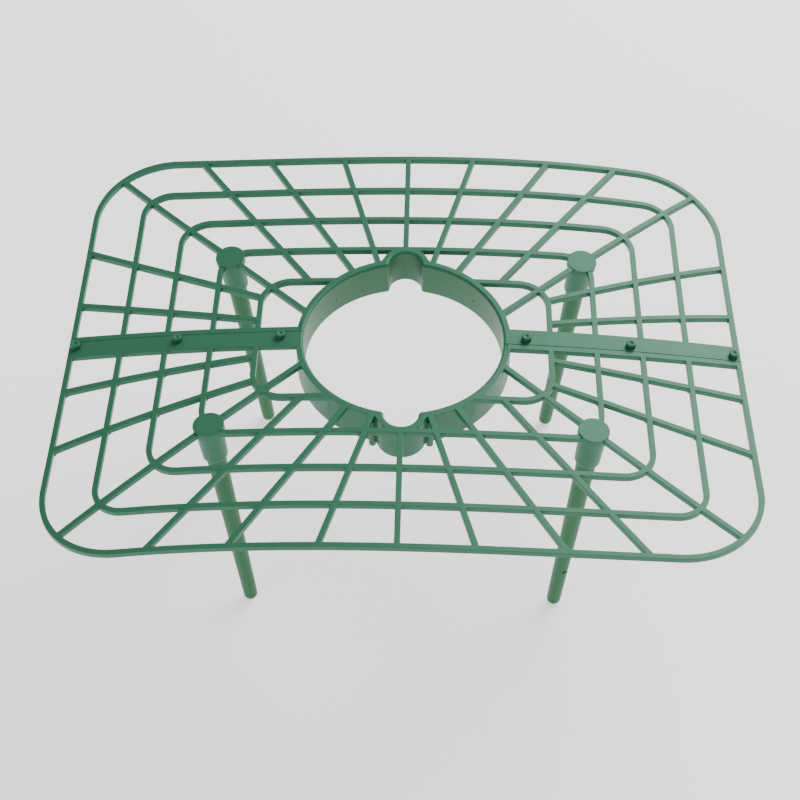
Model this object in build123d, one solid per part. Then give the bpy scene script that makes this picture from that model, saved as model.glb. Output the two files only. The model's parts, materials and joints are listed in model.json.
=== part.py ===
from build123d import *
import math
import os

# A plant support rack in green polypropylene: two equal half grids that lap and
# peg together round a plant, and four legs that push up into sockets under them.
# X runs left to right, Y front to back, Z up. The origin is on the ground under
# the middle of the plant opening. Every size is in millimetres or degrees.

# Overall sizes
LENGTH = 301.0                # outer rail, left to right
WIDTH = 232.0                 # outer rail, front to back
STAND_HEIGHT = 126.0          # ground to the top of the opening's rim

# Grid bars
BAR_WIDTH = 2.5
BAR_DEPTH = 2.7
INNER_RAILS = 4               # rails inside the outer one
EDGE_GAP_X = 22.8             # outer rail to the next one, centre to centre
EDGE_GAP_Y = 21.2
RAIL_GAP_X = 20.4             # pitch between the inner rails
RAIL_GAP_Y = 19.6
EDGE_CORNER = 36.5            # corner radius of the outer rail
RAIL_CORNER = 13.5            # corner radius of the inner rails
LEG_RAIL = 3                  # the rail whose corners carry the leg sockets
FAN_ENDS = (0.0, 31.5, 67.7)  # where spokes meet a long edge, from its middle
FAN_SIDES = (25.3, 57.6)      # where spokes meet a short edge, from its middle
STAY_OUTER = 100.9            # long spoke to the innermost rail: its two ends
STAY_INNER = 43.5
HIP_ANGLE = 42.8              # corner spoke through the socket, from the X axis

# Shape of the top: the wings droop, the long edges rise and the corners twist
WING_DROOP = 10.8             # middle of the short edges, below the rim
EDGE_RISE = 3.1               # middle of the long edges, above the rim
CORNER_TWIST = 4.7            # back right and front left corners drop by this much
SHEET_STEPS = 8               # spans of the grid of points under the top surface

# Plant opening and its collar
OPENING_RADIUS = 44.3
NOTCH_RADIUS = 7.5            # round notch at the front and at the back
COLLAR_WALL = 3.4
COLLAR_DEPTH = 17.0
RIM_ROUND = 1.2               # inner edge of the rim
CUSP_ROUND = 1.5              # inside corner of notch and opening
SHOULDER_ROUND = 3.0          # outside of the same corner
PIP_RADIUS = 1.6              # ejector pips on the collar, beside each notch
PIP_ANGLE = 15.0
PIP_DROP = 1.8                # how far a pip hangs below the collar

# Lap seam: each half has a strap on one side and a pegged shelf on the other
BAND_HALF = 5.9               # seam centre to the outer side of the band
LAP_REACH = 3.0               # seam centre to the end of a strap
LAP_GAP = 0.15                # clearance at the end of a strap and of a shelf
STRAP_DEPTH = 1.35
PEG_RADIUS = 2.1
PEG_CLEARANCE = 0.05
PEG_STAND = 2.4               # peg above the strap
PEG_ROUND = 0.5
PEG_COUNT = 3
PEG_FIRST = 54.5              # distance of the first peg from the middle
PEG_EDGE = 3.2                # last peg to the outer side

# Leg sockets and legs
BORE_RADIUS = 4.7
SOCKET_WALL = 1.35            # round the bore, just under the cap
MOUTH_WALL = 0.85             # the same at the socket's lower end
SOCKET_LENGTH = 20.0          # cap included
SOCKET_ROUND = 1.6            # outer edge of the lower end
CAP_LIP = 0.75                # flat cap over each socket, wider than the socket by this
CAP_THICKNESS = 2.4
CAP_PROUD = 0.5               # cap above the bars
LEG_CLEARANCE = 0.08
PLUG_CHAMFER = 0.8
LEG_STEP = 0.35               # bore to the leg's side, just under the socket
LEG_TIP_RADIUS = 3.3
LEG_LEAN = 4.3                # foot towards the middle of the length
LEG_SPLAY = 2.5               # foot away from the seam

# Worked out from the sizes above
HALF_X = LENGTH / 2 - BAR_WIDTH / 2
HALF_Y = WIDTH / 2 - BAR_WIDTH / 2
CUT = 2 * LENGTH              # reach of the plain blocks that trim the plan
LAP_EDGE = LAP_REACH + LAP_GAP / 2


def rail_half_sizes(number):
    """Half sizes of a rail's centre line and its corner radius; 0 is the outer rail."""
    if number == 0:
        return HALF_X, HALF_Y, EDGE_CORNER
    half_x = HALF_X - EDGE_GAP_X - (number - 1) * RAIL_GAP_X
    half_y = HALF_Y - EDGE_GAP_Y - (number - 1) * RAIL_GAP_Y
    return half_x, half_y, RAIL_CORNER


def socket_place():
    """Middle of the corner arc of the rail that carries the sockets."""
    half_x, half_y, corner = rail_half_sizes(LEG_RAIL)
    inset = corner * (1 - math.cos(math.radians(45)))
    return half_x - inset, half_y - inset


SOCKET_X, SOCKET_Y = socket_place()


def sag(x, y):
    """Height of the bars' top face over the rim of the opening."""
    droop = WING_DROOP * (x / HALF_X) ** 2
    rise = EDGE_RISE * (y / HALF_Y) ** 2
    past_socket = (x**2 - SOCKET_X**2) / (HALF_X**2 - SOCKET_X**2)
    twist = CORNER_TWIST * (x / HALF_X) * (y / HALF_Y) * past_socket
    return rise - droop - twist


def layer(drop, thickness):
    """A sheet of the top's shape, its upper face a given drop below the bars' top."""
    places = [step / SHEET_STEPS - 0.5 for step in range(SHEET_STEPS + 1)]
    reach_x = LENGTH + BAND_HALF
    reach_y = WIDTH + BAND_HALF
    rows = []
    for across in places:
        x = across * reach_x
        heights = [STAND_HEIGHT + sag(x, along * reach_y) - drop for along in places]
        rows.append([Vector(x, along * reach_y, z) for along, z in zip(places, heights)])
    upper = Face.make_surface_from_array_of_points(rows)
    return Solid.extrude(upper, Vector(0, 0, -thickness))


def rounded_frame(half_x, half_y, corner):
    """Plan of one rail: a rounded rectangle one bar wide."""
    margin = BAR_WIDTH / 2
    outside = RectangleRounded(2 * (half_x + margin), 2 * (half_y + margin), corner + margin)
    inside = RectangleRounded(2 * (half_x - margin), 2 * (half_y - margin), corner - margin)
    return outside - inside


def bar(start, end):
    """Plan of a straight bar between two points."""
    run_x = end[0] - start[0]
    run_y = end[1] - start[1]
    middle = Pos((start[0] + end[0]) / 2, (start[1] + end[1]) / 2)
    turn = Rot(0, 0, math.degrees(math.atan2(run_y, run_x)))
    return middle * turn * Rectangle(math.hypot(run_x, run_y), BAR_WIDTH)


def block(x_low, x_high, y_low, y_high):
    """Plain rectangle in plan, given by its sides."""
    middle = Pos((x_low + x_high) / 2, (y_low + y_high) / 2)
    return middle * Rectangle(x_high - x_low, y_high - y_low)


def keyhole(grow, corner_round):
    """Plan of the opening with its two notches, grown outwards, its four corners rounded."""
    plan = Circle(OPENING_RADIUS + grow)
    for side in (-1, 1):
        plan += Pos(0, side * OPENING_RADIUS) * Circle(NOTCH_RADIUS + grow)
    return fillet(plan.vertices(), corner_round)


def spokes():
    """Plan of all the spokes of the front half, overlong at both ends."""
    inner_x, inner_y, _ = rail_half_sizes(INNER_RAILS)
    spoke_list = []
    for side in (-1, 1):
        for place in FAN_ENDS:
            spoke_list.append(bar((0, 0), (side * place, -HALF_Y)))
        for place in FAN_SIDES:
            start_y = place * inner_x / HALF_X
            spoke_list.append(bar((side * inner_x, -start_y), (side * HALF_X, -place)))
        spoke_list.append(bar((side * STAY_INNER, -inner_y), (side * STAY_OUTER, -HALF_Y)))
        hip_x = side * math.cos(math.radians(HIP_ANGLE))
        hip_y = -math.sin(math.radians(HIP_ANGLE))
        inward = SOCKET_X - OPENING_RADIUS / 2
        hip_start = (side * SOCKET_X - inward * hip_x, -SOCKET_Y - inward * hip_y)
        hip_end = (side * SOCKET_X + HALF_X * hip_x, -SOCKET_Y + HALF_X * hip_y)
        spoke_list.append(bar(hip_start, hip_end))
    return spoke_list


def grid_plan():
    """Plan of the front half's bars, from the outer rail to the seam."""
    outline = RectangleRounded(LENGTH, WIDTH, EDGE_CORNER + BAR_WIDTH / 2)
    plan = block(-LENGTH / 2, LENGTH / 2, -BAND_HALF, -LAP_EDGE)
    for number in range(INNER_RAILS + 1):
        plan += rounded_frame(*rail_half_sizes(number))
    for spoke in spokes():
        plan += spoke
    plan &= outline
    plan -= keyhole(COLLAR_WALL / 2, SHOULDER_ROUND)
    return plan & block(-CUT, CUT, -CUT, -LAP_EDGE)


def prism(plan, below=STAND_HEIGHT / 2):
    """Upright prism on a plan, from a distance below the rim to well above the top."""
    above = WING_DROOP + EDGE_RISE + CORNER_TWIST
    return Pos(0, 0, STAND_HEIGHT - below) * extrude(plan, amount=below + above)


def whole_collar():
    """The whole ring of the collar, the inner edge of its rim rounded."""
    plan = keyhole(COLLAR_WALL, SHOULDER_ROUND) - keyhole(0, CUSP_ROUND)
    wall = (prism(plan, COLLAR_DEPTH) & layer(0, STAND_HEIGHT)).solids()[0]
    rim = wall.faces().sort_by(Axis.Z)[-1].inner_wires()[0]
    return wall.fillet(RIM_ROUND, rim.edges())


def collar():
    """The front half's share of the collar: it ends on the lap at each side."""
    left = block(-CUT, 0, -CUT, LAP_REACH - LAP_GAP / 2)
    right = block(0, CUT, -CUT, -LAP_EDGE)
    wall = whole_collar() & prism(left + right, STAND_HEIGHT)
    for side in (-1, 1):
        place = Rot(0, 0, side * PIP_ANGLE) * Pos(0, -OPENING_RADIUS - COLLAR_WALL)
        pip = extrude(Circle(PIP_RADIUS), amount=COLLAR_DEPTH + PIP_DROP - BAR_DEPTH)
        wall += Pos(0, 0, STAND_HEIGHT - COLLAR_DEPTH - PIP_DROP) * place * pip
    return wall


def peg_places():
    """Distances of the pegs from the middle of the opening."""
    last = LENGTH / 2 - PEG_EDGE
    step = (last - PEG_FIRST) / (PEG_COUNT - 1)
    return [PEG_FIRST + number * step for number in range(PEG_COUNT)]


def strap():
    """Upper half of the lap, on the left, with a hole for each peg of the other half."""
    plan = block(-LENGTH / 2, -OPENING_RADIUS, -LAP_EDGE, LAP_REACH - LAP_GAP / 2)
    plan -= Circle(OPENING_RADIUS + COLLAR_WALL / 2)
    for place in peg_places():
        plan -= Pos(-place, 0) * Circle(PEG_RADIUS + PEG_CLEARANCE)
    return prism(plan) & layer(0, STRAP_DEPTH)


def shelf():
    """Lower half of the lap, on the right, with the pegs that stand up through the strap."""
    plan = block(OPENING_RADIUS, LENGTH / 2, -LAP_EDGE, LAP_REACH - LAP_GAP / 2)
    plan -= Circle(OPENING_RADIUS + COLLAR_WALL + LAP_GAP)
    ledge = prism(plan) & layer(STRAP_DEPTH, BAR_DEPTH - STRAP_DEPTH)
    for place in peg_places():
        top = STAND_HEIGHT + sag(place, 0) + PEG_STAND
        height = PEG_STAND + BAR_DEPTH - (BAR_DEPTH - STRAP_DEPTH) / 2
        peg = Cylinder(PEG_RADIUS, height)
        peg = fillet(peg.edges().sort_by(Axis.Z)[-1], PEG_ROUND)
        ledge += Pos(place, 0, top - height / 2) * peg
    return ledge


def leg_axis(side):
    """Place and lean of a front leg's axis; side is -1 for left and 1 for right."""
    place = Pos(side * SOCKET_X, -SOCKET_Y, STAND_HEIGHT + sag(side * SOCKET_X, -SOCKET_Y))
    return place * Rot(-LEG_SPLAY, side * LEG_LEAN, 0)


def socket_body():
    """Cap and tube of a socket along its own axis; 0 is the bars' top face."""
    top_radius = BORE_RADIUS + SOCKET_WALL
    cap = Cylinder(top_radius + CAP_LIP, CAP_PROUD + BAR_DEPTH)
    tube = Cone(BORE_RADIUS + MOUTH_WALL, top_radius, SOCKET_LENGTH)
    tube = fillet(tube.edges().sort_by(Axis.Z)[0], SOCKET_ROUND)
    tube = Pos(0, 0, CAP_PROUD - SOCKET_LENGTH / 2) * tube
    return tube + Pos(0, 0, (CAP_PROUD - BAR_DEPTH) / 2) * cap


def socket_bore():
    """Blind hole of a socket, open at the bottom."""
    ceiling = CAP_PROUD - CAP_THICKNESS
    return Pos(0, 0, ceiling - SOCKET_LENGTH / 2) * Cylinder(BORE_RADIUS, SOCKET_LENGTH)


def front_half():
    """The front half grid with its collar, strap, pegged shelf and two sockets."""
    bars = prism(grid_plan()) & layer(0, BAR_DEPTH)
    half = bars + collar() + strap() + shelf()
    for side in (-1, 1):
        half += leg_axis(side) * socket_body()
    for side in (-1, 1):
        half -= leg_axis(side) * socket_bore()
    return half


def leg():
    """One leg along its own axis: plug, shoulder, taper and round tip."""
    top = CAP_PROUD - CAP_THICKNESS
    mouth = CAP_PROUD - SOCKET_LENGTH
    plug = BORE_RADIUS - LEG_CLEARANCE
    tip_centre = -leg_reach()
    profile = Polyline(
        (0, tip_centre - LEG_TIP_RADIUS),
        (0, top),
        (plug - PLUG_CHAMFER, top),
        (plug, top - PLUG_CHAMFER),
        (plug, mouth),
        (BORE_RADIUS - LEG_STEP, mouth),
        (LEG_TIP_RADIUS, tip_centre),
    )
    tip = CenterArc((0, tip_centre), LEG_TIP_RADIUS, -90, 90)
    section = Plane.XZ * make_face(Curve() + [profile, tip])
    return revolve(section, Axis.Z)


def leg_reach():
    """Distance along a leg from the bars' top face to the centre of its round tip."""
    height = STAND_HEIGHT + sag(SOCKET_X, SOCKET_Y) - LEG_TIP_RADIUS
    lean = math.cos(math.radians(LEG_LEAN)) * math.cos(math.radians(LEG_SPLAY))
    return height / lean


HALF_TURN = Rot(0, 0, 180)
half_front = front_half()
nodes = {"half_front": half_front, "half_back": HALF_TURN * half_front}
for side, front_name, back_name in ((-1, "left", "right"), (1, "right", "left")):
    front_leg = leg_axis(side) * leg()
    nodes["leg_front_" + front_name] = front_leg
    nodes["leg_back_" + back_name] = HALF_TURN * front_leg

os.makedirs("parts", exist_ok=True)
for name, shape in nodes.items():
    shape.label = name
    export_step(shape, f"parts/{name}.step")
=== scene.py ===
import json
import math

import bpy
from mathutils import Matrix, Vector


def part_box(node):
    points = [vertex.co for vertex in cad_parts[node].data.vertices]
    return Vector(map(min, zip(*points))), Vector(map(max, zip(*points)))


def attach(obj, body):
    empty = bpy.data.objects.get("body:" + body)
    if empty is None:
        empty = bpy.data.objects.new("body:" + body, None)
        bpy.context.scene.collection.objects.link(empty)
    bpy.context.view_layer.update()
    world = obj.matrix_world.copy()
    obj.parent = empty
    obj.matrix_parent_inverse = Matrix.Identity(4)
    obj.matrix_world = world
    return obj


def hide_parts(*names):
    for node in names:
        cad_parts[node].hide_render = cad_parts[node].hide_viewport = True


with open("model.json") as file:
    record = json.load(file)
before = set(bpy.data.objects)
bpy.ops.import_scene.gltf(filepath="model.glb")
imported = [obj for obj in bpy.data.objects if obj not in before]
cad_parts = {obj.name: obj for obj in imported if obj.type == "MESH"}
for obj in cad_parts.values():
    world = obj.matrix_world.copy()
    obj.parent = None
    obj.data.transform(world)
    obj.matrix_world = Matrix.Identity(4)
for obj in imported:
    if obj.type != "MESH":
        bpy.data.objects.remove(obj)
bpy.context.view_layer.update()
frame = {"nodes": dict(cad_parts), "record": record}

# --- Camera ----------------------------------------------------------------
# It stands in front of the rack and well above it, a little to the right of
# the middle, with a long lens.
CAMERA_PLACE = (0.0126, -0.4724, 0.6416)
CAMERA_TURNS = (40.178, 0.330, 1.343)    # degrees
CAMERA_LENS = 71.035
bpy.ops.object.camera_add(
    location=CAMERA_PLACE,
    rotation=[math.radians(turn) for turn in CAMERA_TURNS],
)
camera = bpy.context.object
camera.name = "camera"
camera.data.lens = CAMERA_LENS
camera.data.clip_start = 0.01
bpy.context.scene.camera = camera


# --- Floor and studio light --------------------------------------------------
# A pale matt table that glows a little, an even pale surround, a large soft box
# behind the rack on the right and a smaller one low in front on the left.
class Shade:
    """A socket of a material's nodes. Arithmetic on it adds Math nodes."""

    def __init__(self, tree, socket=None):
        self.tree = tree
        self.socket = socket

    def node(self, kind, settings=None, inputs=None, out=0):
        """Any other node: its settings first, then its sockets' values or links."""
        made = self.tree.nodes.new(kind)
        for name, value in (settings or {}).items():
            setattr(made, name, value)
        for name, value in (inputs or {}).items():
            if isinstance(value, Shade):
                self.tree.links.new(value.socket, made.inputs[name])
            else:
                made.inputs[name].default_value = value
        return Shade(self.tree, made.outputs[out])

    def reckon(self, operation, other=0.0, turned=False):
        """A Math node on this value and another, or on the other and this."""
        pair = (other, self) if turned else (self, other)
        return self.node("ShaderNodeMath", {"operation": operation}, dict(enumerate(pair)))

    def __add__(self, other):
        return self.reckon("ADD", other)

    def __sub__(self, other):
        return self.reckon("SUBTRACT", other)

    def __rsub__(self, other):
        return self.reckon("SUBTRACT", other, turned=True)

    def __mul__(self, other):
        return self.reckon("MULTIPLY", other)

    def __lt__(self, other):
        return self.reckon("LESS_THAN", other)

    __radd__ = __add__
    __rmul__ = __mul__

    def between(self, low, high):
        """Maps 0..1 onto low..high."""
        return self * (high - low) + low

    def noise(self, scale, detail=2.0, roughness=0.5):
        """A noise texture at this place, 0..1."""
        inputs = {"Vector": self, "Scale": scale, "Detail": detail, "Roughness": roughness}
        return self.node("ShaderNodeTexNoise", {}, inputs)

    def blend(self, first, second):
        """A colour between two colours, by this value."""
        settings = {"data_type": "RGBA"}
        inputs = {0: self, 6: first, 7: second}
        return self.node("ShaderNodeMix", settings, inputs, out=2)

    def feeds(self, shader, socket):
        """Links this value to a shader's socket."""
        self.tree.links.new(self.socket, shader.inputs[socket])


def new_material(name):
    """An empty Principled material, its shader and its Object coordinates."""
    material = bpy.data.materials.new(name)
    material.use_nodes = True
    tree = material.node_tree
    tree.nodes.clear()
    shader = tree.nodes.new("ShaderNodeBsdfPrincipled")
    output = tree.nodes.new("ShaderNodeOutputMaterial")
    tree.links.new(shader.outputs["BSDF"], output.inputs["Surface"])
    place = Shade(tree).node("ShaderNodeTexCoord", out=3)
    return material, shader, place


def set_all(shader, values):
    """Sets what is the same all over the surface on the shader's own sockets."""
    for socket, value in values.items():
        shader.inputs[socket].default_value = value


FLOOR_SIDE = 60.0
FLOOR_CLOUDS = 3.0            # clouds to a metre
FLOOR_DARKER = (0.90, 0.90, 0.90, 1)
FLOOR_PALER = (0.93, 0.93, 0.93, 1)
FLOOR_FINISH = {
    "Roughness": 0.9,
    "Specular IOR Level": 0.1,
    "Emission Color": (1.0, 1.0, 1.0, 1),
    "Emission Strength": 0.85,
}
table_white, shader, place = new_material("table_white")
clouds = place.noise(FLOOR_CLOUDS)
clouds.blend(FLOOR_DARKER, FLOOR_PALER).feeds(shader, "Base Color")
set_all(shader, FLOOR_FINISH)
bpy.ops.object.select_all(action="DESELECT")
bpy.ops.mesh.primitive_plane_add(size=FLOOR_SIDE)
floor = bpy.context.object
floor.name = "floor"
floor.data.materials.append(table_white)

SURROUND_COLOUR = (0.97, 1.0, 0.98, 1)
SURROUND_STRENGTH = 0.5
surround = bpy.data.worlds.new("surround")
surround.use_nodes = True
background = surround.node_tree.nodes["Background"]
background.inputs["Color"].default_value = SURROUND_COLOUR
background.inputs["Strength"].default_value = SURROUND_STRENGTH
bpy.context.scene.world = surround


def soft_box(name, place, aim, width, height, watts):
    """A rectangular lamp that faces a point."""
    facing = (Vector(aim) - Vector(place)).to_track_quat("-Z", "Y")
    bpy.ops.object.light_add(type="AREA", location=place, rotation=facing.to_euler())
    lamp = bpy.context.object
    lamp.name = name
    lamp.data.shape = "RECTANGLE"
    lamp.data.size = width
    lamp.data.size_y = height
    lamp.data.energy = watts


RACK_MIDDLE = (0.0, 0.0, 0.1)
BACK_BOX_PLACE = (0.85, 1.05, 1.25)
FRONT_BOX_PLACE = (-0.9, -0.9, 0.7)
soft_box("back_box", BACK_BOX_PLACE, RACK_MIDDLE, width=1.3, height=1.1, watts=42.0)
soft_box("front_box", FRONT_BOX_PLACE, RACK_MIDDLE, width=0.8, height=0.6, watts=3.5)

# --- Half grids --------------------------------------------------------------
# Two equal mouldings in green polypropylene: bars, collar, strap, pegs and
# sockets in one piece. The mould leaves every edge a little rounded.
HALVES = {"half_front": -1, "half_back": 1}    # which way each lies along Y
EDGE_ROUND = 0.0002
JOIN_WITHIN = 0.00005
FLAT_WITHIN = math.radians(0.3)
SHARP_FROM = math.radians(40.0)
LEG_END_WITHIN = 0.0006       # how far a leg's end points differ in height
CAP_REACH = 0.009             # round a socket's axis: cap, tube and the bars' ends
CAP_RISE = 0.0018             # ceiling of a socket to the upper edge of its cap
PEG_TOP_AREA = (6e-6, 9e-6)   # flat top of a peg, square metres
PEG_TOP_LEVEL = 0.999         # upward part of its normal
PEG_RIM = 0.0008
DIMPLE_WALL = 0.00015
DIMPLE_DEPTH = 0.00025
SEAM_WITHIN = 0.0005          # the pegs stand on the seam

GRID_DEEP = (0.018, 0.110, 0.057, 1)
GRID_PALE = (0.028, 0.136, 0.074, 1)
GRID_CLOUDS = 14.0            # to a metre, as the flow marks and the grain below
GRID_FLOW = 220.0
GRID_FLOW_STRETCH = 0.25      # along Z; less draws the flow marks out further
GRID_CLOUD_SHARE = 0.6        # of the mottle; the flow marks have the rest
GRID_DULLNESS = (0.36, 0.52)  # least and most roughness
GRID_FINISH = {
    "Specular IOR Level": 0.45,
    "Specular Tint": (0.54, 1.0, 0.76, 1),
    "Subsurface Weight": 0.08,
    "Subsurface Radius": (0.6, 1.0, 0.6),
    "Subsurface Scale": 0.0015,
}

# Painted light: the inside of the collar and its notches is painted a lighter, yellower
# green than the bars, for light coming through the thick wall.
WALL_PAINTED_LIGHT = (0.042, 0.128, 0.062, 1)
COLLAR_RADIUS = 0.0443
COLLAR_REACH = 0.0460         # from the middle, into the collar's wall
NOTCH_REACH = 0.0092          # from a notch's middle, into its wall
COLLAR_TOP = 0.1247           # where the rim's round edge starts

GRAIN_SCALE = 900.0
GRAIN_STRENGTH = 0.12
GRAIN_HEIGHT = 0.0002
MARKS_IN_GLOSS = 0.7          # share of the flow marks; the grain has the rest
GRAIN_IN_SKIN = 0.6           # share of the grain; the flow marks have the rest


def moulded_plastic(name, clouds, flow, stretch, dullness):
    """A moulded plastic's clouds, flow marks and grain, with its gloss and bump.

    Gives the material, its shader, its coordinates, the clouds and the flow marks.
    """
    material, shader, place = new_material(name)
    broad = place.noise(clouds, detail=3.0)
    grain = place.noise(GRAIN_SCALE, detail=3.0, roughness=0.6)
    drawn = {"Vector": place, "Scale": (1.0, 1.0, stretch)}
    flowed = place.node("ShaderNodeMapping", {}, drawn)
    marks = flowed.noise(flow, detail=4.0, roughness=0.65)
    dull = marks * MARKS_IN_GLOSS + grain * (1 - MARKS_IN_GLOSS)
    dull.between(*dullness).feeds(shader, "Roughness")
    skin = {
        "Strength": GRAIN_STRENGTH,
        "Distance": GRAIN_HEIGHT,
        "Height": grain * GRAIN_IN_SKIN + marks * (1 - GRAIN_IN_SKIN),
    }
    place.node("ShaderNodeBump", {}, skin).feeds(shader, "Normal")
    return material, shader, place, broad, marks


grid_green, shader, place, broad, marks = moulded_plastic(
    "grid_polypropylene", GRID_CLOUDS, GRID_FLOW, GRID_FLOW_STRETCH, GRID_DULLNESS
)
mottle = broad * GRID_CLOUD_SHARE + marks * (1 - GRID_CLOUD_SHARE)
bars = mottle.blend(GRID_DEEP, GRID_PALE)
split = place.node("ShaderNodeSeparateXYZ", {}, {0: place}).socket.node
across, along, height = [Shade(place.tree, output) for output in split.outputs]
# Painted light: below the rim's round edge, the walls of the collar and the notches take
# the lighter, yellower green.
from_middle = (across * across + along * along).reckon("SQRT")
past_notch = along.reckon("ABSOLUTE") - COLLAR_RADIUS
from_notch = (across * across + past_notch * past_notch).reckon("SQRT")
painted_light_mask = (from_middle < COLLAR_REACH) + (from_notch < NOTCH_REACH)
(painted_light_mask * (height < COLLAR_TOP)).blend(bars, WALL_PAINTED_LIGHT).feeds(shader, "Base Color")
set_all(shader, GRID_FINISH)


def take_on(piece):
    """Leaves only this piece selected and active."""
    bpy.ops.object.select_all(action="DESELECT")
    piece.select_set(True)
    bpy.context.view_layer.objects.active = piece


def merged_copy(node, name):
    """A copy of a frame node with its own mesh, its corners joined."""
    piece = bpy.data.objects.new(name, frame["nodes"][node].data.copy())
    bpy.context.scene.collection.objects.link(piece)
    take_on(piece)
    bpy.ops.mesh.customdata_custom_splitnormals_clear()
    bpy.ops.object.mode_set(mode="EDIT")
    bpy.ops.mesh.select_all(action="SELECT")
    bpy.ops.mesh.remove_doubles(threshold=JOIN_WITHIN)
    bpy.ops.mesh.dissolve_limited(angle_limit=FLAT_WITHIN)
    bpy.ops.object.mode_set(mode="OBJECT")
    return piece


def leg_axis(node):
    """The middle of a leg's upper end and the direction up its axis."""
    points = [Vector(point.co) for point in frame["nodes"][node].data.vertices]
    ends = []
    for level in (max(point.z for point in points), min(point.z for point in points)):
        near = [point for point in points if abs(point.z - level) < LEG_END_WITHIN]
        ends.append(sum(near, Vector()) / len(near))
    return ends[0], (ends[0] - ends[1]).normalized()


def from_axis(point, axis):
    """How far a point is from a leg's axis, and how far above the leg's end."""
    end, direction = axis
    run = point - end
    rise = run.dot(direction)
    return (run - direction * rise).length, rise


def round_edges(piece, axes):
    """Rounds the sharp edges. Round a socket only the cap's upper edge is taken."""
    take_on(piece)
    bpy.ops.object.mode_set(mode="EDIT")
    bpy.ops.mesh.select_all(action="DESELECT")
    bpy.ops.mesh.select_mode(type="EDGE")
    bpy.ops.mesh.edges_select_sharp(sharpness=SHARP_FROM)
    bpy.ops.object.mode_set(mode="OBJECT")
    mesh = piece.data
    for edge in mesh.edges:
        if not edge.select:
            continue
        ends = [mesh.vertices[number].co for number in edge.vertices]
        for axis in axes:
            (reach_a, rise_a), (reach_b, rise_b) = [from_axis(end, axis) for end in ends]
            if max(reach_a, reach_b) < CAP_REACH and min(rise_a, rise_b) < CAP_RISE:
                edge.select = False
    taken = {number for edge in mesh.edges if edge.select for number in edge.vertices}
    for point in mesh.vertices:
        point.select = point.index in taken
    for face in mesh.polygons:
        face.select = False
    bpy.ops.object.mode_set(mode="EDIT")
    bpy.ops.mesh.bevel(offset=EDGE_ROUND, segments=2, clamp_overlap=False, loop_slide=False)
    bpy.ops.object.mode_set(mode="OBJECT")
    bpy.ops.object.shade_smooth_by_angle(angle=SHARP_FROM)
    even = piece.modifiers.new("even_shading", "WEIGHTED_NORMAL")
    even.keep_sharp = True
    even.weight = 100
    bpy.ops.object.modifier_apply(modifier=even.name)


def dimple_pegs(piece):
    """Sinks a small round dimple into the flat top of each peg."""
    take_on(piece)
    bpy.ops.object.mode_set(mode="EDIT")
    bpy.ops.mesh.select_mode(type="FACE")
    bpy.ops.mesh.select_all(action="DESELECT")
    bpy.ops.object.mode_set(mode="OBJECT")
    for face in piece.data.polygons:
        flat = face.normal.z > PEG_TOP_LEVEL and abs(face.center.y) < SEAM_WITHIN
        face.select = flat and PEG_TOP_AREA[0] < face.area < PEG_TOP_AREA[1]
    bpy.ops.object.mode_set(mode="EDIT")
    bpy.ops.mesh.inset(thickness=PEG_RIM, use_individual=True)
    bpy.ops.mesh.inset(thickness=DIMPLE_WALL, depth=-DIMPLE_DEPTH, use_individual=True)
    bpy.ops.mesh.inset(thickness=DIMPLE_DEPTH, depth=-DIMPLE_WALL, use_individual=True)
    bpy.ops.object.mode_set(mode="OBJECT")


mouldings = {}
for node in HALVES:
    side = node.replace("half_", "leg_")
    axes = [leg_axis(side + "_left"), leg_axis(side + "_right")]
    half = merged_copy(node, node + "_moulding")
    mouldings[node] = half
    dimple_pegs(half)
    round_edges(half, axes)
    half.data.materials.clear()
    half.data.materials.append(grid_green)
    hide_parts(node)
    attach(half, "root")

# --- Ejector stubs -------------------------------------------------------------
# Short round stubs that the mould's ejector pins leave under the grid, close to
# the crossings of bars, a little towards the opening. Part of each moulding.
STUB_RADIUS = 0.0012
STUB_DEPTH = 0.0009           # below the bars
STUB_ROOT = 0.0008            # up into the bar
STUB_INSET = 0.0008           # from the crossing, towards the opening
STUB_EDGE = 0.0003
STUB_SIDES = 16
STUB_END_LEVEL = -0.9         # a lower end's normal points down at least this much

BAR_WIDTH = 0.0025
EDGE_GAP = Vector((0.0228, 0.0212))      # outer rail to the next, across and along
RAIL_GAP = Vector((0.0204, 0.0196))      # each inner rail to the next
EDGE_CORNER = 0.0365          # radius of the outer rail's corners
RAIL_CORNER = 0.0135
INNER_RAILS = 4
CROSSING_STEPS = 30
LONG_SPOKES = (0.0677, 0.1009)           # outer ends, from the long side's middle
SECOND_SPOKE_START = 0.0435              # its inner end, on the innermost rail
LONG_OVERSHOOT = (1.05, 1.02)            # they run on past the outer rail
SHORT_SPOKES = (0.0576, 0.0253)          # outer ends, from the short side's middle
SHORT_RUN = (0.99, 1.2)                  # from just inside the innermost rail
HIP_TURN = math.radians(42.8)
HIP_RUN = (0.04, 0.1)                    # from the socket, inwards and outwards
grid_corner = Vector([-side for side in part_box("half_front")[0][:2]])
outer_rail = grid_corner - Vector((BAR_WIDTH, BAR_WIDTH)) / 2
inner_rail = outer_rail - EDGE_GAP - (INNER_RAILS - 1) * RAIL_GAP
socket = -leg_axis("leg_front_left")[0].to_2d()


def past_rail(spot, number):
    """How far outside a rail's centre line a spot is; 0 is the outer rail."""
    if number == 0:
        half, corner = outer_rail, EDGE_CORNER
    else:
        half, corner = outer_rail - EDGE_GAP - (number - 1) * RAIL_GAP, RAIL_CORNER
    over = [abs(spot[way]) - half[way] + corner for way in (0, 1)]
    beyond = math.hypot(max(over[0], 0), max(over[1], 0))
    return min(max(over), 0) + beyond - corner


def crossing(start, end, number):
    """Where a spoke from inside a rail to outside it crosses its centre line."""
    low, high = 0.0, 1.0
    for _ in range(CROSSING_STEPS):
        middle = (low + high) / 2
        if past_rail(start.lerp(end, middle), number) < 0:
            low = middle
        else:
            high = middle
    return start.lerp(end, low)


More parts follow.
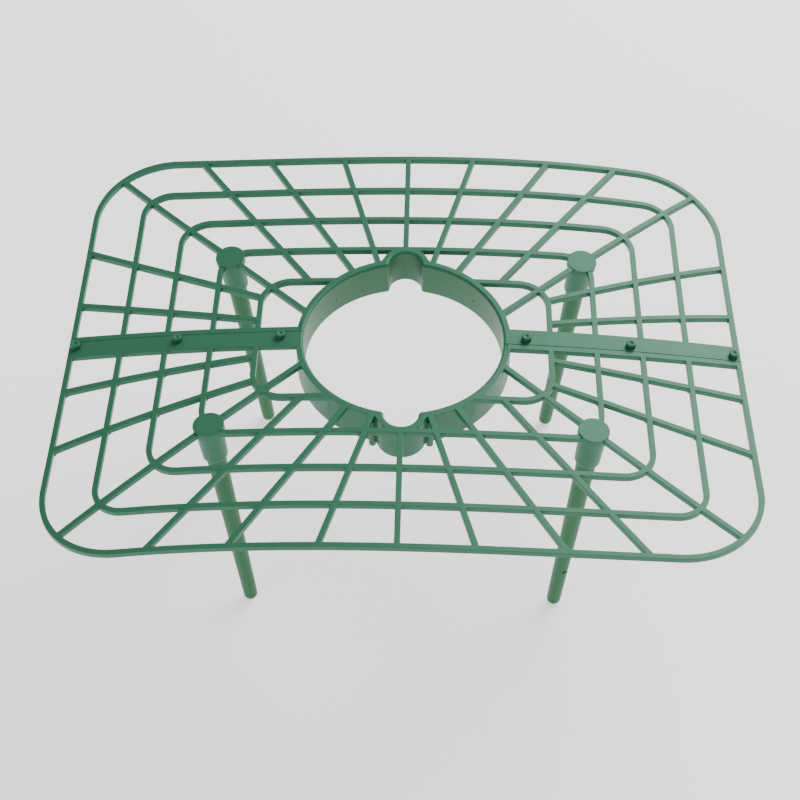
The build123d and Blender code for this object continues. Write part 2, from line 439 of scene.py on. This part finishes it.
def long_side_spoke(inner, outer, overshoot):
    """A spoke from an inner point to the long side, this far from its middle."""
    return Vector(inner), Vector((outer, outer_rail.y)) * overshoot


def short_side_spoke(reach):
    """A spoke to the short side, its outer end this far from the side's middle.

    It points at the opening's middle, so its inner end is nearer the long axis.
    """
    begin, finish = SHORT_RUN
    start = Vector((inner_rail.x, reach * inner_rail.x / outer_rail.x)) * begin
    return start, start.lerp(Vector((outer_rail.x, reach)), finish)


def hip_spoke():
    """The spoke through the leg's socket to the rack's corner."""
    hip = Vector((math.cos(HIP_TURN), math.sin(HIP_TURN)))
    return socket - hip * HIP_RUN[0], socket + hip * HIP_RUN[1]


second_start = (SECOND_SPOKE_START, inner_rail.y)
STUB_SPOKES = (               # a spoke, and the rails with a stub at it
    (long_side_spoke((0.0, 0.0), LONG_SPOKES[0], LONG_OVERSHOOT[0]), (0, 2)),
    (long_side_spoke(second_start, LONG_SPOKES[1], LONG_OVERSHOOT[1]), (1, 2)),
    (short_side_spoke(SHORT_SPOKES[0]), (0, 1, 2, 3)),
    (short_side_spoke(SHORT_SPOKES[1]), (0, 1, 2)),
    (hip_spoke(), (0, 1, 2, 4)),
)


def stub_spots(half):
    """Where the stubs of a half hang: on the underside of its bars."""
    bpy.context.view_layer.update()
    spots = []
    for (start, end), rails in STUB_SPOKES:
        for number in rails:
            spot = crossing(start, end, number)
            spot -= spot.normalized() * STUB_INSET
            for side in (-1, 1):
                below = Vector((side * spot.x, HALVES[half] * spot.y, 0.0))
                hit, under, _, _ = mouldings[half].ray_cast(below, Vector((0, 0, 1)))
                if hit:
                    spots.append(under)
    return spots


def repeated(model, name, spots):
    """One piece of a model's copies, each moved to its spot."""
    copies = []
    for spot in spots:
        copy = bpy.data.objects.new(name, model.data.copy())
        bpy.context.scene.collection.objects.link(copy)
        copy.location = spot
        copies.append(copy)
    bpy.ops.object.select_all(action="DESELECT")
    for copy in copies:
        copy.select_set(True)
    bpy.context.view_layer.objects.active = copies[0]
    bpy.ops.object.transform_apply(location=True, rotation=True, scale=True)
    bpy.ops.object.join()
    return bpy.context.object


bpy.ops.object.select_all(action="DESELECT")
bpy.ops.mesh.primitive_cylinder_add(
    vertices=STUB_SIDES,
    radius=STUB_RADIUS,
    depth=STUB_DEPTH + STUB_ROOT,
    location=(0, 0, (STUB_ROOT - STUB_DEPTH) / 2),
)
stub = bpy.context.object
bpy.ops.object.transform_apply(location=True, rotation=True, scale=True)
bpy.ops.object.mode_set(mode="EDIT")
bpy.ops.mesh.select_all(action="DESELECT")
bpy.ops.object.mode_set(mode="OBJECT")
for face in stub.data.polygons:
    face.select = face.normal.z < STUB_END_LEVEL
bpy.ops.object.mode_set(mode="EDIT")
bpy.ops.mesh.bevel(offset=STUB_EDGE, segments=2)
bpy.ops.object.mode_set(mode="OBJECT")
bpy.ops.object.shade_smooth_by_angle(angle=SHARP_FROM)
stub.data.materials.append(grid_green)
for node in HALVES:
    stubs = repeated(stub, node.replace("half", "ejector_stubs"), stub_spots(node))
    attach(stubs, "root")
bpy.data.objects.remove(stub)

# --- Collar ticks ----------------------------------------------------------------
# Two short upright ribs on the inside of each half's collar, a little below its
# middle and an eighth of a turn from the notch. Part of each moulding.
TICK_WIDTH = 0.0007
TICK_HEIGHT = 0.0030
TICK_PROUD = 0.0002
TICK_ROOT = 0.0006            # into the collar's wall
TICK_EDGE = 0.3               # of its width
TICK_DROP = 0.0018            # middle of the collar's wall to the middle of a tick
TICK_TURN = math.radians(45)
mounts = {mount["name"]: mount for mount in frame["record"]["mounts"]}
opening = mounts["plant_opening"]
opening_radius = opening["dims"]["r_mm"] / 1000
tick_height = opening["pos_m"][2] - TICK_DROP


def rounded_block(size, edge, segments):
    """A small block of this size with all its edges rounded."""
    bpy.ops.object.select_all(action="DESELECT")
    bpy.ops.mesh.primitive_cube_add(size=1.0)
    block = bpy.context.object
    block.scale = size
    bpy.ops.object.transform_apply(location=False, rotation=False, scale=True)
    bpy.ops.object.mode_set(mode="EDIT")
    bpy.ops.mesh.select_all(action="SELECT")
    bpy.ops.mesh.bevel(offset=edge, segments=segments)
    bpy.ops.object.mode_set(mode="OBJECT")
    return block


tick_size = (TICK_WIDTH, TICK_PROUD + TICK_ROOT, TICK_HEIGHT)
tick_reach = opening_radius + (TICK_ROOT - TICK_PROUD) / 2
for node, front in HALVES.items():
    ticks = []
    for side in (-1, 1):
        tick = rounded_block(tick_size, TICK_WIDTH * TICK_EDGE, 2)
        along = Vector((side * math.sin(TICK_TURN), front * math.cos(TICK_TURN), 0))
        tick.rotation_euler = (0, 0, -side * front * TICK_TURN)
        tick.location = along * tick_reach + Vector((0, 0, tick_height))
        ticks.append(tick)
    for tick in ticks:
        tick.select_set(True)
    bpy.ops.object.transform_apply(location=True, rotation=True, scale=True)
    bpy.ops.object.join()
    pair = bpy.context.object
    pair.name = node.replace("half", "collar_ticks")
    pair.data.name = pair.name
    bpy.ops.object.shade_smooth_by_angle(angle=SHARP_FROM)
    pair.data.materials.append(grid_green)
    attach(pair, "root")

# --- Legs ----------------------------------------------------------------------
# Four equal tapered pins, moulded in a slightly yellower green and pushed up
# into the sockets.
LEG_DEEP = (0.023, 0.115, 0.042, 1)
LEG_PALE = (0.034, 0.142, 0.058, 1)
LEG_CLOUDS = 20.0
LEG_FLOW = 300.0
LEG_FLOW_STRETCH = 0.08
LEG_CLOUD_SHARE = 0.5
LEG_DULLNESS = (0.38, 0.54)
LEG_FINISH = {
    "Specular IOR Level": 0.25,
    "Specular Tint": (0.60, 1.0, 0.74, 1),
    "Subsurface Weight": 0.06,
    "Subsurface Radius": (0.6, 1.0, 0.6),
    "Subsurface Scale": 0.0015,
}

leg_green, shader, place, broad, marks = moulded_plastic(
    "leg_polypropylene", LEG_CLOUDS, LEG_FLOW, LEG_FLOW_STRETCH, LEG_DULLNESS
)
mottle = broad * LEG_CLOUD_SHARE + marks * (1 - LEG_CLOUD_SHARE)
mottle.blend(LEG_DEEP, LEG_PALE).feeds(shader, "Base Color")
set_all(shader, LEG_FINISH)
for node in sorted(frame["nodes"]):
    if node.startswith("leg_"):
        frame["nodes"][node].material_slots[0].material = leg_green

# --- Gate marks --------------------------------------------------------------------
# A small raised scar on each leg near its foot, where the plastic ran into the
# mould. A leg goes into its socket at any turn, so each scar faces its own way.
GATE_SIZE = (0.0024, 0.0009, 0.0008)
GATE_EDGE = 0.3               # of its height
GATE_HEIGHT = 0.0275          # above the tip, along the leg
GATE_REACH = 0.00355          # from the leg's axis: its radius there
GATE_FACING = {               # degrees, from the X axis
    "leg_front_right": -62,
    "leg_front_left": 150,
    "leg_back_left": 75,
    "leg_back_right": 20,
}

for node, facing in GATE_FACING.items():
    upper, direction = leg_axis(node)
    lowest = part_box(node)[0].z
    foot = upper - direction * ((upper.z - lowest) / direction.z)
    middle = foot + direction * GATE_HEIGHT
    turn = math.radians(facing)
    outward = Vector((math.cos(turn), math.sin(turn), 0))
    scar = rounded_block(GATE_SIZE, GATE_SIZE[2] * GATE_EDGE, 3)
    scar.name = node.replace("leg", "gate_mark")
    scar.data.name = scar.name
    scar.rotation_euler = (0, 0, turn + math.pi / 2)
    scar.location = middle + outward * GATE_REACH
    bpy.ops.object.transform_apply(location=True, rotation=True, scale=True)
    bpy.ops.object.shade_smooth_by_angle(angle=SHARP_FROM)
    scar.data.materials.append(leg_green)
    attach(scar, node)
